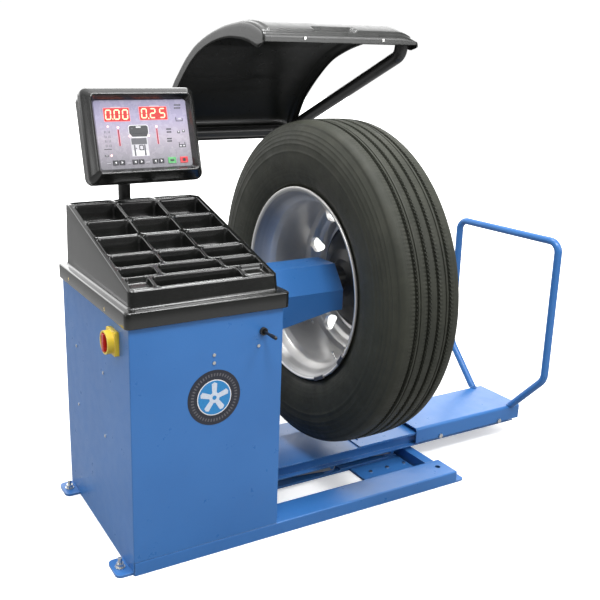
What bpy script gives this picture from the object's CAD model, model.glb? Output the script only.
"""A wheel balancing machine with a wheel on its spindle.

The spindle lies along X at SPINDLE_Z above the floor. The weight tray is on the -X side
of the wheel, -Y is the front where the display looks, and the hood arches over the wheel
towards +Y. Lengths are in millimetres unless a comment says metres; MM turns them into
metres where meshes and objects are made.
"""
import math
import random

import bmesh
import bpy
import numpy as np
from mathutils import Matrix, Vector


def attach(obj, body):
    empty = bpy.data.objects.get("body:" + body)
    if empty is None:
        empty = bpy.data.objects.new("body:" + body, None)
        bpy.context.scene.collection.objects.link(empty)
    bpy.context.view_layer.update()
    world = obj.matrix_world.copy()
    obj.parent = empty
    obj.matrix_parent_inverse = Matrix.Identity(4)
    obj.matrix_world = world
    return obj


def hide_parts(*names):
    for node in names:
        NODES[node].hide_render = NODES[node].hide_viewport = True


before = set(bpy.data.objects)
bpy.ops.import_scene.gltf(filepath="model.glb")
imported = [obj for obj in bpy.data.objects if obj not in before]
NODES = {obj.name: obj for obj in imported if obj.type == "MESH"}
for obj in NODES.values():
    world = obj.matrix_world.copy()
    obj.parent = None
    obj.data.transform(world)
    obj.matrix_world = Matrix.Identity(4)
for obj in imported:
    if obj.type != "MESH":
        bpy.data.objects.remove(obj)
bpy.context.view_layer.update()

random.seed(7)
MM = 0.001
TAU = 2 * math.pi

SPINDLE_Z = 661.0
WHEEL_X = 44.0                       # middle plane of tyre and rim
RIM_X0, RIM_X1 = WHEEL_X - 103.0, WHEEL_X + 103.0


# ------------------------------------------------------------------ mesh helpers
def add_object(name, mesh):
    o = bpy.data.objects.new(name, mesh)
    bpy.context.scene.collection.objects.link(o)
    return o


def shade(o, smooth):
    for face in o.data.polygons:
        face.use_smooth = smooth


def mesh_obj(name, verts, faces):
    mesh = bpy.data.meshes.new(name)
    mesh.from_pydata([tuple(v) for v in verts], [], faces)
    mesh.validate()
    mesh.update()
    o = add_object(name, mesh)
    shade(o, True)
    return o


def sharpen(o, degrees):
    o.data.set_sharp_from_angle(angle=math.radians(degrees))


def fix_normals(o, top_up=False):
    """Make the normals agree; with top_up the highest face of an open skin looks up."""
    bm = bmesh.new()
    bm.from_mesh(o.data)
    bmesh.ops.recalc_face_normals(bm, faces=bm.faces)
    if top_up:
        highest = max(bm.faces, key=lambda face: face.calc_center_median().z)
        if highest.normal.z < 0:
            bmesh.ops.reverse_faces(bm, faces=bm.faces)
    bm.to_mesh(o.data)
    bm.free()


def apply_mods(o):
    bpy.context.view_layer.update()
    graph = bpy.context.evaluated_depsgraph_get()
    mesh = bpy.data.meshes.new_from_object(o.evaluated_get(graph))
    old = o.data
    o.modifiers.clear()
    o.data = mesh
    bpy.data.meshes.remove(old)


def cut_away(o, cutter):
    boolean = o.modifiers.new("cut", "BOOLEAN")
    boolean.operation = "DIFFERENCE"
    boolean.solver = "EXACT"
    boolean.object = cutter
    apply_mods(o)
    bpy.data.objects.remove(cutter)


def join(name, objs):
    """Merge objects into one, keeping their materials and face shading."""
    verts, faces, materials, indices, smooth = [], [], [], [], []
    for o in objs:
        base = len(verts)
        verts += [tuple(o.matrix_world @ v.co) for v in o.data.vertices]
        own = []
        for material in o.data.materials:
            if material not in materials:
                materials.append(material)
            own.append(materials.index(material))
        for face in o.data.polygons:
            faces.append([base + i for i in face.vertices])
            indices.append(own[face.material_index] if own else 0)
            smooth.append(face.use_smooth)
    mesh = bpy.data.meshes.new(name)
    mesh.from_pydata(verts, [], faces)
    for material in materials:
        mesh.materials.append(material)
    for face, index, is_smooth in zip(mesh.polygons, indices, smooth):
        face.material_index = index
        face.use_smooth = is_smooth
    mesh.update()
    for o in objs:
        bpy.data.objects.remove(o)
    return add_object(name, mesh)


def loops_obj(name, loops, wrap=False):
    """Skin a row of equal closed loops: capped at both ends, or wrapped into a ring."""
    verts, faces, n = [], [], len(loops[0])
    for loop in loops:
        verts += loop
    for a in range(len(loops) if wrap else len(loops) - 1):
        b = (a + 1) % len(loops)
        for i in range(n):
            k = (i + 1) % n
            faces.append((a * n + i, a * n + k, b * n + k, b * n + i))
    if not wrap:
        faces.append(tuple(range(n))[::-1])
        faces.append(tuple((len(loops) - 1) * n + i for i in range(n)))
    o = mesh_obj(name, verts, faces)
    fix_normals(o)
    return o


def around(x, r, angle):
    """Point in metres at radius r about the spindle; angle 0 is up, growing towards +Y."""
    return (x * MM, r * math.sin(angle) * MM, (SPINDLE_Z + r * math.cos(angle)) * MM)


def lathe(name, outline, segments, shift=None):
    """Turn a closed outline of (x, radius); shift(point, segment) gives (dx, dr)."""
    loops = []
    for j in range(segments):
        loop = []
        for i, (x, r) in enumerate(outline):
            dx, dr = shift(i, j) if shift else (0.0, 0.0)
            loop.append(around(x + dx, r + dr, TAU * j / segments))
        loops.append(loop)
    return loops_obj(name, loops, wrap=True)


def extrude_x(outline, stations):
    """Solid with a (y, z) outline through the given x stations."""
    return loops_obj("part", [[(x * MM, y * MM, z * MM) for y, z in outline] for x in stations])


def slab(bottom, top, material):
    """Flat-shaded plate between two loops."""
    o = loops_obj("part", [bottom, top])
    shade(o, False)
    return paint(o, material)


def circle(r, count, x=0.0, y=0.0):
    return [(x + r * math.cos(TAU * i / count), y + r * math.sin(TAU * i / count))
            for i in range(count)]


def rounded_rect(w, h, r, steps):
    points = []
    for x, y, start in ((w / 2 - r, h / 2 - r, 0), (-w / 2 + r, h / 2 - r, 90),
                        (-w / 2 + r, -h / 2 + r, 180), (w / 2 - r, -h / 2 + r, 270)):
        for k in range(steps + 1):
            a = math.radians(start + 90 * k / steps)
            points.append((x + r * math.cos(a), y + r * math.sin(a)))
    return points


def round_profile(rows, steps):
    """Round the corners of a closed outline given as (x, y, corner radius)."""
    points = [row[:2] for row in rows]
    out = []
    for i, (x, y, radius) in enumerate(rows):
        corner = Vector((x, y))
        u = Vector(points[i - 1]) - corner
        v = Vector(points[(i + 1) % len(points)]) - corner
        len_u, len_v = u.length, v.length
        u, v = u / len_u, v / len_v
        angle = u.angle(v)
        if angle > math.pi - 0.05:       # nearly straight, nothing to round
            out.append((x, y))
            continue
        trim = min(radius / math.tan(angle / 2), len_u * 0.45, len_v * 0.45)
        fitted = trim * math.tan(angle / 2)
        centre = corner + (u + v).normalized() * (fitted / math.sin(angle / 2))
        p0, p1 = corner + u * trim, corner + v * trim
        start = math.atan2(p0.y - centre.y, p0.x - centre.x)
        end = math.atan2(p1.y - centre.y, p1.x - centre.x)
        sweep = (end - start + math.pi) % TAU - math.pi
        for k in range(steps + 1):
            a = start + sweep * k / steps
            out.append((centre.x + fitted * math.cos(a), centre.y + fitted * math.sin(a)))
    return out


def grid_border(rows, cols):
    """Indices round the edge of a row-major grid, starting along row 0."""
    return ([j for j in range(cols)] + [i * cols + cols - 1 for i in range(1, rows)]
            + [(rows - 1) * cols + j for j in range(cols - 2, -1, -1)]
            + [i * cols for i in range(rows - 2, 0, -1)])


def smooth01(t):
    return t * t * (3 - 2 * t)


# ------------------------------------------------------------------ node helpers
class Nodes:
    """Short calls for building a node tree."""

    def __init__(self, tree):
        self.tree = tree

    def node(self, kind, **settings):
        node = self.tree.nodes.new(kind)
        for key, value in settings.items():
            setattr(node, key, value)
        return node

    def feed(self, socket, value):
        """Set a socket to a number or an RGB colour, or link an output to it."""
        if isinstance(value, (int, float)):
            socket.default_value = value
        elif isinstance(value, tuple):
            socket.default_value = (*value, 1)
        else:
            self.tree.links.new(value, socket)

    def calc(self, operation, *values, clamp=False):
        node = self.node("ShaderNodeMath", operation=operation, use_clamp=clamp)
        for socket, value in zip(node.inputs, values):
            self.feed(socket, value)
        return node.outputs[0]

    def times(self, a, b):
        return self.calc("MULTIPLY", a, b)

    def split(self, vector):
        node = self.node("ShaderNodeSeparateXYZ")
        self.feed(node.inputs[0], vector)
        return node.outputs

    def ramp(self, fac, *stops):
        """Colour ramp through (position, grey or RGB) stops."""
        node = self.node("ShaderNodeValToRGB")
        elements = node.color_ramp.elements
        while len(elements) < len(stops):
            elements.new(0.5)
        for element, (position, c) in zip(elements, stops):
            element.position = position
            element.color = (*c, 1) if isinstance(c, tuple) else (c, c, c, 1)
        self.feed(node.inputs["Fac"], fac)
        return node.outputs["Color"]

    def mask(self, fac, low, high):
        """0 up to low, rising to 1 at high."""
        return self.ramp(fac, (low, 0.0), (high, 1.0))


class Surface(Nodes):
    """A Principled material and the node patterns that feed it."""

    def __init__(self, name, color, rough=0.5, metal=0.0, spec=0.5, coat=0.0):
        self.material = bpy.data.materials.new(name)
        self.material.use_nodes = True
        super().__init__(self.material.node_tree)
        self.shader = self.tree.nodes["Principled BSDF"]
        self.put("Base Color", color)
        self.put("Roughness", rough)
        self.put("Metallic", metal)
        self.put("Specular IOR Level", spec)
        if coat:
            self.put("Coat Weight", coat)
            self.put("Coat Roughness", 0.12)
        self.material.diffuse_color = (*color, 1)
        self.coords = self.node("ShaderNodeTexCoord").outputs["Object"]
        self.normal = None

    def put(self, name, value):
        self.feed(self.shader.inputs[name], value)

    def noise(self, scale, detail=5, rough=0.6, vector=None, stretch=None):
        node = self.node("ShaderNodeTexNoise")
        node.inputs["Scale"].default_value = scale
        node.inputs["Detail"].default_value = detail
        node.inputs["Roughness"].default_value = rough
        source = vector or self.coords
        if stretch:
            mapping = self.node("ShaderNodeMapping")
            mapping.inputs["Scale"].default_value = stretch
            self.feed(mapping.inputs["Vector"], source)
            source = mapping.outputs["Vector"]
        self.feed(node.inputs["Vector"], source)
        return node.outputs["Fac"]

    def cells(self, scale):
        node = self.node("ShaderNodeTexVoronoi")
        node.inputs["Scale"].default_value = scale
        self.feed(node.inputs["Vector"], self.coords)
        return node.outputs["Distance"]

    def mix(self, fac, a, b):
        node = self.node("ShaderNodeMix", data_type="RGBA")
        for index, value in ((0, fac), (6, a), (7, b)):
            self.feed(node.inputs[index], value)
        return node.outputs[2]

    def lay(self, under, over, mask, amount):
        """Lay one colour over another where the mask is bright."""
        return self.mix(self.times(mask, amount), under, over)

    def set_normal(self, normal):
        self.normal = normal
        self.put("Normal", normal)

    def bump(self, height, strength, distance):
        """Add a bump on top of the ones before it; distance in metres."""
        node = self.node("ShaderNodeBump")
        node.inputs["Strength"].default_value = strength
        node.inputs["Distance"].default_value = distance
        self.feed(node.inputs["Height"], height)
        if self.normal is not None:
            self.feed(node.inputs["Normal"], self.normal)
        self.set_normal(node.outputs["Normal"])

    def rounded_normal(self, radius):
        """Normal softened at edges; radius in metres."""
        node = self.node("ShaderNodeBevel", samples=4)
        node.inputs["Radius"].default_value = radius
        return node.outputs["Normal"]

    def edge(self, radius, low=0.02, high=0.25, scale=60):
        """0 on flats, 1 on worn edges."""
        rounded = self.rounded_normal(radius)
        geometry = self.node("ShaderNodeNewGeometry")
        dot = self.node("ShaderNodeVectorMath", operation="DOT_PRODUCT")
        self.feed(dot.inputs[0], rounded)
        self.feed(dot.inputs[1], geometry.outputs["Normal"])
        bend = self.calc("SUBTRACT", 1.0, dot.outputs["Value"], clamp=True)
        patches = self.noise(scale=scale, detail=6, rough=0.7)
        return self.mask(self.times(bend, self.mask(patches, 0.35, 0.7)), low, high)

    def wheel_coords(self):
        """Radius from the spindle, x, and the vector (radius, x) for turned marks."""
        x, y, z = self.split(self.coords)
        z = self.calc("SUBTRACT", z, SPINDLE_Z * MM)
        squares = self.calc("ADD", self.calc("POWER", y, 2.0), self.calc("POWER", z, 2.0))
        r = self.calc("SQRT", squares)
        combine = self.node("ShaderNodeCombineXYZ")
        self.feed(combine.inputs[0], r)
        self.feed(combine.inputs[1], x)
        return r, x, combine.outputs[0]


# ------------------------------------------------------------------ materials
def painted(name, base, light, rough, wear, dirt=0.12, bevel=0.0012):
    """Paint or plastic: cloudy, flecked, a little dirty, worn along its edges."""
    m = Surface(name, base)
    m.set_normal(m.rounded_normal(bevel))
    clouds = m.noise(scale=3.2, detail=4, rough=0.55)
    c = m.mix(m.mask(clouds, 0.3, 0.75), base, light)
    flecks = m.noise(scale=420, detail=3, rough=0.6)
    c = m.lay(c, tuple(min(1, x * 1.6) for x in light), m.mask(flecks, 0.45, 0.75), amount=0.10)
    grime = m.noise(scale=11, detail=8, rough=0.75)
    c = m.lay(c, (0.12, 0.10, 0.08), m.mask(grime, 0.55, 0.85), amount=dirt)
    c = m.lay(c, wear, m.edge(radius=0.0022), amount=0.75)
    m.put("Base Color", c)
    gloss = m.noise(scale=26, detail=7, rough=0.7)
    m.put("Roughness", m.ramp(gloss, (0.3, rough[0]), (0.75, rough[1])))
    m.bump(m.noise(scale=520, detail=2, rough=0.5), strength=0.05, distance=0.0006)
    m.bump(m.noise(scale=14, detail=3, rough=0.5), strength=0.04, distance=0.004)
    return m.material


def metal(name, base, rough=(0.2, 0.38), brush=None):
    """Bare metal; brush stretches its noise into strokes."""
    m = Surface(name, base, metal=1.0)
    m.set_normal(m.rounded_normal(0.0006))
    clouds = m.noise(scale=60, detail=6, rough=0.7, stretch=brush)
    c = m.mix(m.mask(clouds, 0.3, 0.8), base, tuple(x * 0.72 for x in base))
    c = m.lay(c, (0.9, 0.9, 0.9), m.edge(radius=0.0012), amount=0.5)
    m.put("Base Color", c)
    gloss = m.noise(scale=90, detail=6, rough=0.7, stretch=brush)
    m.put("Roughness", m.ramp(gloss, (0.3, rough[0]), (0.8, rough[1])))
    grain = m.noise(scale=300, detail=3, rough=0.6, stretch=brush)
    m.bump(grain, strength=0.04, distance=0.0006)
    return m.material


def rim_material():
    m = Surface("polished_aluminium", (0.86, 0.86, 0.85), metal=0.72)
    m.set_normal(m.rounded_normal(0.0008))
    r, x, turned = m.wheel_coords()
    rings = m.noise(scale=420, detail=2, rough=0.5, vector=turned)
    clouds = m.noise(scale=6, detail=4, rough=0.55)
    c = m.mix(m.mask(clouds, 0.30, 0.85), (0.86, 0.845, 0.82), (0.70, 0.69, 0.67))
    fine = m.noise(scale=55, detail=5, rough=0.65)
    c = m.lay(c, (0.50, 0.49, 0.47), m.mask(fine, 0.55, 0.8), amount=0.18)
    # the -X side is duller, except for its bright outermost edge
    depth = m.times(m.calc("ADD", x, -RIM_X0 * MM), 20.0)
    near = m.ramp(depth, (0.0, 1.0), (0.5, 0.9), (1.0, 0.0))
    within = m.times(m.calc("SUBTRACT", r, 0.290), 200.0)
    within = m.ramp(within, (0.2, 1.0), (0.9, 0.0))
    c = m.lay(c, (0.16, 0.165, 0.175), m.times(near, within), amount=0.62)
    m.put("Base Color", c)
    m.put("Roughness", m.ramp(clouds, (0.3, 0.33), (0.75, 0.46)))
    m.bump(rings, strength=0.05, distance=0.0004)
    m.bump(m.noise(scale=9, detail=2, rough=0.5), strength=0.05, distance=0.004)
    return m.material


def tyre_material():
    m = Surface("tyre_rubber", (0.03, 0.03, 0.028), spec=0.24)
    r, x, turned = m.wheel_coords()
    rings = m.noise(scale=140, detail=4, rough=0.6, vector=turned)
    c = m.mix(m.mask(rings, 0.35, 0.7), (0.020, 0.0215, 0.0165), (0.031, 0.033, 0.026))
    dust = m.noise(scale=7, detail=8, rough=0.75)
    c = m.lay(c, (0.068, 0.067, 0.052), m.mask(dust, 0.44, 0.78), amount=0.50)
    film = m.noise(scale=3.1, detail=5, rough=0.6)
    c = m.lay(c, (0.038, 0.041, 0.030), m.mask(film, 0.40, 0.70), amount=0.45)
    scratches = m.noise(scale=46, detail=9, rough=0.8, stretch=(1, 1, 5))
    c = m.lay(c, (0.11, 0.105, 0.09), m.mask(scratches, 0.62, 0.74), amount=0.30)
    # dark spots, only on the tread
    spots = m.ramp(m.cells(scale=120), (0.10, 1.0), (0.16, 0.0))
    tread = m.mask(r, 0.486, 0.494)
    c = m.lay(c, (0.012, 0.012, 0.011), m.times(spots, tread), amount=0.5)
    m.put("Base Color", c)
    gloss = m.noise(scale=30, detail=7, rough=0.7)
    m.put("Roughness", m.ramp(gloss, (0.3, 0.50), (0.8, 0.74)))
    m.bump(m.noise(scale=700, detail=4, rough=0.7), strength=0.28, distance=0.0012)
    m.bump(m.noise(scale=210, detail=5, rough=0.75), strength=0.14, distance=0.0014)
    m.bump(rings, strength=0.20, distance=0.0012)
    m.bump(m.noise(scale=60, detail=6, rough=0.7), strength=0.10, distance=0.0015)
    return m.material


def moulded(name, base, light, rough, grain, dust, wear, coat=0.0, dull_below=False):
    """Dark moulded plastic with a fine cell grain."""
    m = Surface(name, base, coat=coat)
    clouds = m.noise(scale=5, detail=6, rough=0.6)
    c = m.mix(m.mask(clouds, 0.35, 0.75), base, light)
    specks = m.noise(scale=33, detail=8, rough=0.75)
    c = m.lay(c, (0.07, 0.066, 0.058), m.mask(specks, 0.60, 0.85), amount=dust)
    worn = m.edge(radius=0.0025, low=0.03, high=0.35, scale=90)
    c = m.lay(c, (0.16, 0.16, 0.16), worn, amount=wear)
    m.put("Base Color", c)
    gloss = m.noise(scale=40, detail=6, rough=0.7)
    m.put("Roughness", m.ramp(gloss, (0.3, rough[0]), (0.8, rough[1])))
    m.bump(m.cells(scale=620), strength=grain, distance=0.0005)
    m.bump(m.noise(scale=9, detail=2, rough=0.5), strength=0.03, distance=0.003)
    if dull_below:
        # faces that look down reflect less
        geometry = m.node("ShaderNodeNewGeometry")
        up = m.calc("ADD", m.split(geometry.outputs["Normal"])["Z"], 0.5)
        m.put("Specular IOR Level", m.ramp(up, (0.15, 0.14), (0.42, 0.95)))
    return m.material


def panel_material():
    """Printed film whose colour changes with height."""
    bottom, height = 1.024, 0.194        # metres above the floor, metres
    m = Surface("panel_film", (0.4, 0.38, 0.5))
    z = m.split(m.coords)["Z"]
    rise = m.times(m.calc("SUBTRACT", z, bottom), 1 / height)
    c = m.ramp(rise, (0.0, (0.12, 0.125, 0.14)), (0.22, (0.24, 0.23, 0.265)),
               (0.45, (0.37, 0.335, 0.40)), (0.72, (0.32, 0.295, 0.44)),
               (1.0, (0.17, 0.165, 0.27)))
    c = m.lay(c, (0.42, 0.37, 0.42), m.noise(scale=9, detail=4, rough=0.5), amount=0.30)
    dots = m.noise(scale=900, detail=2, rough=0.5)
    c = m.lay(c, (0.7, 0.7, 0.75), m.mask(dots, 0.55, 0.7), amount=0.12)
    m.put("Base Color", c)
    gloss = m.noise(scale=50, detail=5, rough=0.6)
    m.put("Roughness", m.ramp(gloss, (0.3, 0.22), (0.8, 0.34)))
    m.bump(m.noise(scale=700, detail=2, rough=0.5), strength=0.04, distance=0.0003)
    return m.material


def print_ink(name, color, rough=0.35, glow=None, power=0.0):
    m = Surface(name, color, rough)
    patches = m.noise(scale=240, detail=4, rough=0.6)
    c = m.mix(m.mask(patches, 0.3, 0.8), color, tuple(x * 0.8 for x in color))
    m.put("Base Color", c)
    m.put("Roughness", m.ramp(patches, (0.3, rough * 0.8), (0.8, rough * 1.3)))
    if glow:
        m.put("Emission Color", glow)
        m.put("Emission Strength", power)
    return m.material


M = {}
M["blue"] = painted(
    "blue_powder_coat", base=(0.030, 0.138, 0.390), light=(0.038, 0.162, 0.440),
    rough=(0.26, 0.40), wear=(0.42, 0.55, 0.72), dirt=0.07)
M["black"] = painted(
    "black_satin_paint", base=(0.012, 0.012, 0.012), light=(0.020, 0.020, 0.020),
    rough=(0.28, 0.42), wear=(0.16, 0.16, 0.16), dirt=0.05)
M["grey"] = painted(
    "grey_frame_paint", base=(0.22, 0.23, 0.25), light=(0.28, 0.29, 0.31),
    rough=(0.4, 0.6), wear=(0.5, 0.5, 0.5))
M["yellow"] = painted(
    "yellow_plastic", base=(0.72, 0.50, 0.03), light=(0.80, 0.58, 0.05),
    rough=(0.28, 0.42), wear=(0.85, 0.75, 0.4), dirt=0.10, bevel=0.0015)
M["red"] = painted(
    "red_plastic", base=(0.42, 0.010, 0.016), light=(0.52, 0.015, 0.02),
    rough=(0.22, 0.36), wear=(0.8, 0.35, 0.35), dirt=0.06, bevel=0.0015)
M["black_plastic"] = painted(
    "black_plastic", base=(0.014, 0.014, 0.014), light=(0.022, 0.022, 0.022),
    rough=(0.4, 0.55), wear=(0.08, 0.08, 0.08), dirt=0.05)
M["board"] = painted(
    "circuit_board", base=(0.02, 0.12, 0.04), light=(0.03, 0.17, 0.06),
    rough=(0.35, 0.5), wear=(0.1, 0.3, 0.12))
M["nylon"] = painted(
    "nylon", base=(0.72, 0.70, 0.64), light=(0.80, 0.78, 0.72),
    rough=(0.4, 0.55), wear=(0.85, 0.85, 0.8), dirt=0.3)
M["zinc"] = metal("zinc_steel", base=(0.72, 0.72, 0.70))
M["steel"] = metal("ground_steel", base=(0.55, 0.56, 0.58), rough=(0.18, 0.32), brush=(12, 1, 1))
M["brass"] = metal("brass", base=(0.78, 0.60, 0.26))
M["lead"] = metal("lead_clip", base=(0.26, 0.26, 0.27), rough=(0.42, 0.58))
M["rim"] = rim_material()
M["tyre"] = tyre_material()
M["abs_tray"] = moulded(
    "tray_abs", base=(0.0055, 0.006, 0.0055), light=(0.009, 0.0095, 0.0085),
    rough=(0.16, 0.26), grain=0.03, dust=0.04, wear=0.15, coat=0.45)
M["abs_hood"] = moulded(
    "hood_abs", base=(0.007, 0.0078, 0.0068), light=(0.012, 0.013, 0.0115),
    rough=(0.26, 0.38), grain=0.025, dust=0.01, wear=0.12, dull_below=True)
M["abs_bezel"] = moulded(
    "bezel_abs", base=(0.0065, 0.007, 0.0065), light=(0.011, 0.011, 0.0105),
    rough=(0.20, 0.30), grain=0.03, dust=0.03, wear=0.06, coat=0.5)
M["panel"] = panel_material()

INKS = (    # name, colour, roughness, then glow colour and strength where it is lit
    ("ink_dark", (0.010, 0.011, 0.016)),
    ("ink_white", (0.80, 0.80, 0.82)),
    ("ink_grey", (0.11, 0.11, 0.125)),
    ("ink_mid", (0.045, 0.047, 0.052)),
    ("ink_light", (0.55, 0.54, 0.58)),
    ("ink_blue", (0.02, 0.22, 0.52)),
    ("ink_navy", (0.016, 0.018, 0.030)),
    ("ink_pale", (0.58, 0.64, 0.74)),
    ("led_window", (0.22, 0.02, 0.022), 0.25, (1.0, 0.06, 0.05), 0.50),
    ("led_digit", (1.0, 0.45, 0.30), 0.4, (1.0, 0.34, 0.20), 1.9),
    ("led_glow", (0.70, 0.26, 0.30), 0.4, (1.0, 0.20, 0.23), 0.22),
    ("led_dot", (1.0, 0.55, 0.55), 0.4, (1.0, 0.45, 0.45), 2.0),
    ("bar_dark", (0.22, 0.01, 0.03), 0.3),
    ("key_dark", (0.035, 0.035, 0.042), 0.3),
    ("key_green", (0.10, 0.40, 0.14), 0.3),
    ("key_red", (0.62, 0.03, 0.04), 0.3),
)
for ink in INKS:
    M[ink[0]] = print_ink(*ink)
M["belt"] = painted(
    "belt_rubber", base=(0.014, 0.014, 0.014), light=(0.02, 0.02, 0.02),
    rough=(0.6, 0.8), wear=(0.05, 0.05, 0.05))

# ------------------------------------------------------------------ CAD pieces
CAD_MATERIALS = {
    "blue": ["base_frame", "cabinet_shell", "cross_plate", "rear_panel", "spindle_housing",
             "lift_base", "lift_rail", "trolley", "trolley_handle"],
    "black": ["display_post", "hood_frame", "hood_brackets", "wheel_flange", "truck_cone",
              "quick_nut", "lift_lever", "motor_pulley", "spindle_pulley"],
    "grey": ["drive_frame", "lift_arms_left", "lift_arms_right", "motor", "bearing_tube"],
    "zinc": ["cover_screws", "floor_bolts", "hood_screws", "roller_axles", "cylinder_rod",
             "valve_stem"],
    "lead": ["wheel_weights"],
    "steel": ["spindle_shaft", "bearings", "encoder_disc", "pressure_plate", "cylinder_barrel"],
    "brass": ["tray_screws"],
    "nylon": ["rollers_left", "rollers_right"],
    "yellow": ["switch_plate"],
    "red": ["switch_knob"],
    "black_plastic": ["lift_valve", "sensors"],
    "board": ["power_board"],
    "belt": ["drive_belt"],
    "abs_bezel": ["display_back", "display_housing"],
    "panel": ["display_panel"],
    "abs_tray": ["weight_tray"],
    "abs_hood": ["hood_shell"],
    "tyre": ["tyre"],
    "rim": ["rim"],
    "ink_navy": ["badge"],
    "key_dark": ["key_arrow_%d" % i for i in range(1, 7)],
    "key_green": ["key_start"],
    "key_red": ["key_stop"],
}


def paint(o, material):
    o.data.materials.clear()
    o.data.materials.append(M[material])
    return o


for material, names in CAD_MATERIALS.items():
    for name in names:
        for face in paint(NODES[name], material).data.polygons:
            face.material_index = 0


def stand_for(o, node, body):
    """Let an object take a CAD piece's place and ride on a body."""
    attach(o, body)
    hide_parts(node)


def add_extra(o, body):
    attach(o, body)


# ------------------------------------------------------------------ tyre
TYRE_SIDE = [    # distance from the middle plane, radius: bead to shoulder
    (84.5, 286.6), (87.0, 290.0), (88.3, 296), (88.8, 301.5), (90.2, 305.0), (93.0, 307.4),
    (95.2, 308.2), (96.0, 310.5), (96.4, 313), (99.5, 317.0), (102.3, 322.5), (106.2, 332),
    (110.6, 345), (114.0, 359), (116.6, 374), (118.2, 388), (119.2, 398), (119.5, 404),
    (120.0, 405.2), (120.0, 408.2), (119.6, 409.4), (119.4, 418), (118.9, 426), (119.0, 427),
    (119.3, 428.2), (119.3, 430.4), (118.6, 431.6), (117.5, 438), (117.1, 440), (117.3, 441.2),
    (117.0, 443.6), (116.0, 445), (114.4, 451), (113.6, 453), (113.8, 454.2), (113.1, 456.8),
    (112.0, 458), (110.0, 463), (109.0, 465), (109.2, 466.2), (108.4, 468.4), (106.9, 470),
    (104.6, 474.2), (102.0, 478.4), (100.4, 480.4), (100.4, 481.6), (99.2, 483.2),
    (99.3, 484.2), (97.6, 486.4), (95.4, 488.8), (92.6, 491.0), (89.0, 493.0), (85.0, 494.4),
    (80.0, 495.6)]
TYRE_INSIDE = [  # same columns, from the middle of the cavity to the bead
    (0, 474.5), (44, 472.5), (68, 467), (86, 455), (96, 434), (98, 402), (91.5, 352),
    (80, 318), (66, 303), (60, 296), (61, 282.2), (72, 284.4)]
TYRE_RADIUS = 500
TREAD_GROOVES = (    # centre, half width, depth, land points before it (place, crown place)
    (56.0, 4.0, 14.0, ((70.0, 70),)),
    (43.0, 1.5, 9.0, ((49.5, 49),)),
    (16.0, 4.2, 14.0, ((36, 36), (29, 29))))
TYRE_SEGMENTS = 840


def crown(s):
    """Tread radius at distance s from the middle plane."""
    return TYRE_RADIUS - (abs(s) / 92.0) ** 2.2 * 5.0


def tread_outline():
    points = []
    for mid, half, depth, land in TREAD_GROOVES:
        wide = half > 2
        lip = 1.2 if wide else 0.9
        soft = 0.3 if wide else 0.1
        outer, inner, top = mid + half, mid - half, crown(mid)
        points += [(place, crown(at)) for place, at in land]
        points += [(outer + lip, crown(outer)), (outer + soft, crown(outer) - 0.5),
                   (outer - soft * 1.6, top - 3.0), (mid + half * 0.62, top - depth + 2),
                   (mid + half * 0.3, top - depth), (mid - half * 0.3, top - depth),
                   (mid - half * 0.62, top - depth + 2), (inner + soft * 1.6, top - 3.0),
                   (inner - soft, crown(inner) - 0.5), (inner - lip, crown(inner))]
    return points


def build_tyre():
    half = TYRE_SIDE + tread_outline() + [(8, crown(8)), (0, TYRE_RADIUS)]
    outside = ([(WHEEL_X - s, r) for s, r in half]
               + [(WHEEL_X + s, r) for s, r in reversed(half[:-1])])
    inside = ([(WHEEL_X + s, r) for s, r in reversed(TYRE_INSIDE)]
              + [(WHEEL_X - s, r) for s, r in TYRE_INSIDE[1:]])
    # the rib edges beside each wide groove are notched on every third segment
    wide = [WHEEL_X + side * row[0] for row in TREAD_GROOVES if row[1] > 2 for side in (-1, 1)]
    notched = {i for i, (x, r) in enumerate(outside) for groove in wide
               if 3.2 < abs(x - groove) < 5.7 and r > 490}

    def notch(i, j):
        if i not in notched:
            return 0.0, 0.0
        x = outside[i][0]
        if (j + int(x) % 3) % 3:
            return 0.0, 0.0
        nearest = min(wide, key=lambda groove: abs(groove - x))
        return (2.2 if x > nearest else -2.2), -3.6

    o = lathe("tyre_rubber", outside + inside, TYRE_SEGMENTS, notch)
    sharpen(o, 50)
    paint(o, "tyre")
    stand_for(o, "tyre", "spindle")


def sidewall_pad(side, r0, r1, start, width, height, rows, cols):
    """Raised patch on a sidewall (side -1 or 1), sunk 1 mm; angles in radians."""
    verts, faces = [], []
    for lift in (-1.0, height):
        for i in range(rows):
            r = r0 + (r1 - r0) * i / (rows - 1)
            wall = np.interp(r, [p[1] for p in TYRE_SIDE], [p[0] for p in TYRE_SIDE])
            for j in range(cols):
                angle = start + width * j / (cols - 1)
                verts.append(around(WHEEL_X + side * wall + side * lift, r, angle))
    n = rows * cols
    for i in range(rows - 1):
        for j in range(cols - 1):
            p = i * cols + j
            faces.append((n + p, n + p + 1, n + p + cols + 1, n + p + cols))
            faces.append((p, p + cols, p + cols + 1, p + 1))
    border = grid_border(rows, cols)
    for a, b in zip(border, border[1:] + border[:1]):
        faces.append((a, b, n + b, n + a))
    o = mesh_obj("part", verts, faces)
    shade(o, False)
    fix_normals(o)
    return o


def build_tyre_marks():
    """Six groups of five bars and 48 short ticks near the bead, on both sidewalls."""
    pads = []
    for side in (-1, 1):
        for k in range(6):
            for q in range(5):
                start = TAU * k / 6 + 0.18 + q * 0.055
                pads.append(sidewall_pad(side, 352, 376, start, width=0.030, height=0.45,
                                         rows=3, cols=6))
        for k in range(48):
            pads.append(sidewall_pad(side, 326, 334, TAU * k / 48, width=0.006, height=0.35,
                                     rows=2, cols=2))
    add_extra(paint(join("tyre_sidewall_marks", pads), "tyre"), "spindle")


build_tyre()
build_tyre_marks()

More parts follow.
